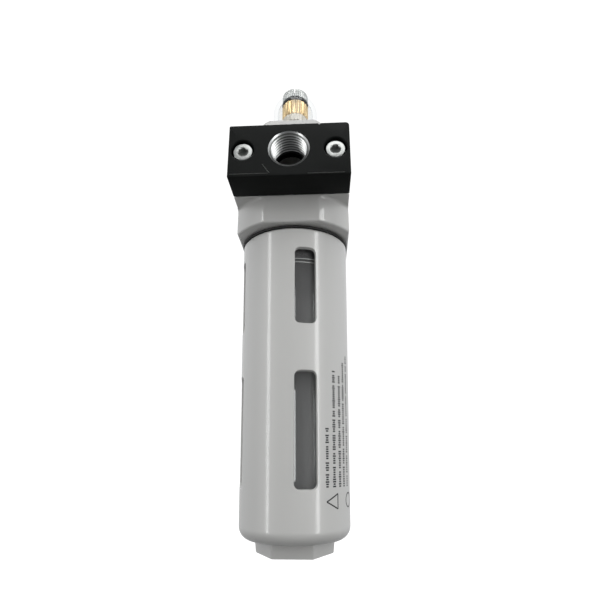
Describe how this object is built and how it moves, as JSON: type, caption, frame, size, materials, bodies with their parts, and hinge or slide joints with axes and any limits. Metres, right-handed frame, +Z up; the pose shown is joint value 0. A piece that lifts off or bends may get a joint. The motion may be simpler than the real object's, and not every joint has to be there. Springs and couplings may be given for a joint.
{
  "type": "compressed air lubricator",
  "caption": "Oil-mist lubricator for compressed air: grey body with black bolt-on port plates, clear sight dome with metering screw, and a clear bowl in a slotted metal guard.",
  "frame": {"origin": "centre of the bowl guard's bottom face, on the bowl's axis", "axes": "+Z up along the bowl and sight dome axis; +Y along the air channel, from the front port to the rear port; X across the flat sides"},
  "size_m": [0.041, 0.069, 0.1799],
  "materials": {
    "grey_paint": "satin light grey powder coat on die-cast metal",
    "black_paint": "satin black coating, lightly textured",
    "zinc_steel": "zinc-plated steel",
    "rubber": "matt nitrile rubber",
    "clear_plastic": "clear polycarbonate",
    "brass": "turned brass",
    "bronze": "sintered bronze grains",
    "black_plastic": "moulded black acetal",
    "white_plastic": "moulded white acetal"
  },
  "bodies": {
    "body": {"housing": "grey_paint", "front_port_plate": "black_paint", "rear_port_plate": "black_paint", "front_plate_screw_left": "zinc_steel", "front_plate_screw_right": "zinc_steel", "rear_plate_screw_left": "zinc_steel", "rear_plate_screw_right": "zinc_steel", "baffle_screw_front": "zinc_steel", "baffle_screw_rear": "zinc_steel", "flap_pin": "zinc_steel", "front_port_oring": "rubber", "rear_port_oring": "rubber", "dome_oring": "rubber", "sight_dome": "clear_plastic", "pickup_fitting": "brass", "riser_tube": "brass", "metering_body": "brass", "drip_nozzle": "white_plastic", "pickup_strainer": "bronze", "mist_baffle": "black_plastic", "flow_insert": "black_plastic", "pickup_tube": "white_plastic", "drip_base": "white_plastic", "metering_oring": "rubber"},
    "bowl": {"bowl": "clear_plastic", "bowl_oring": "rubber"},
    "guard": {"bowl_guard": "grey_paint", "guard_ring": "rubber"},
    "flap": {"damper_flap": "rubber"},
    "ball": {"check_ball": "zinc_steel"},
    "meter_head": {"metering_screw": "zinc_steel"},
    "needle": {"needle": "zinc_steel"},
    "filler_seal": {"filler_oring": "rubber"},
    "filler": {"filler_plug": "black_plastic"}
  },
  "joints": [
    {"name": "bowl_drop", "type": "slide", "parent": "body", "child": "bowl", "axis": [0, 0, -1], "range_m": [0, 0.12]},
    {"name": "guard_twist", "type": "hinge", "parent": "bowl", "child": "guard", "pos_m": [0, 0, 0.10902], "axis": [0, 0, 1], "range_deg": [0, 40]},
    {"name": "metering_turn", "type": "hinge", "parent": "body", "child": "meter_head", "pos_m": [0, 0, 0.17617], "axis": [0, 0, 1], "range_deg": [0, 360]},
    {"name": "needle_lift", "type": "slide", "parent": "body", "child": "needle", "axis": [0, 0, 1], "range_m": [0, 0.0007]},
    {"name": "flap_swing", "type": "hinge", "parent": "body", "child": "flap", "pos_m": [0, -0.00356, 0.12972], "axis": [1, 0, 0], "range_deg": [0, 50]},
    {"name": "ball_lift", "type": "slide", "parent": "body", "child": "ball", "axis": [0, 0, 1], "range_m": [0, 0.0015]},
    {"name": "filler_turn", "type": "hinge", "parent": "filler_seal", "child": "filler", "pos_m": [0.01027, 0.01485, 0.15247], "axis": [0, 0, 1], "range_deg": [0, 2800]},
    {"name": "filler_lift", "type": "slide", "parent": "body", "child": "filler_seal", "axis": [0, 0, 1], "range_m": [0, 0.0095]}
  ],
  "couplings": [
    {"joint": "needle_lift", "follows": "metering_turn", "m_per_rad": 0.000079577},
    {"joint": "filler_turn", "follows": "filler_lift", "rad_per_m": 5026.5}
  ]
}
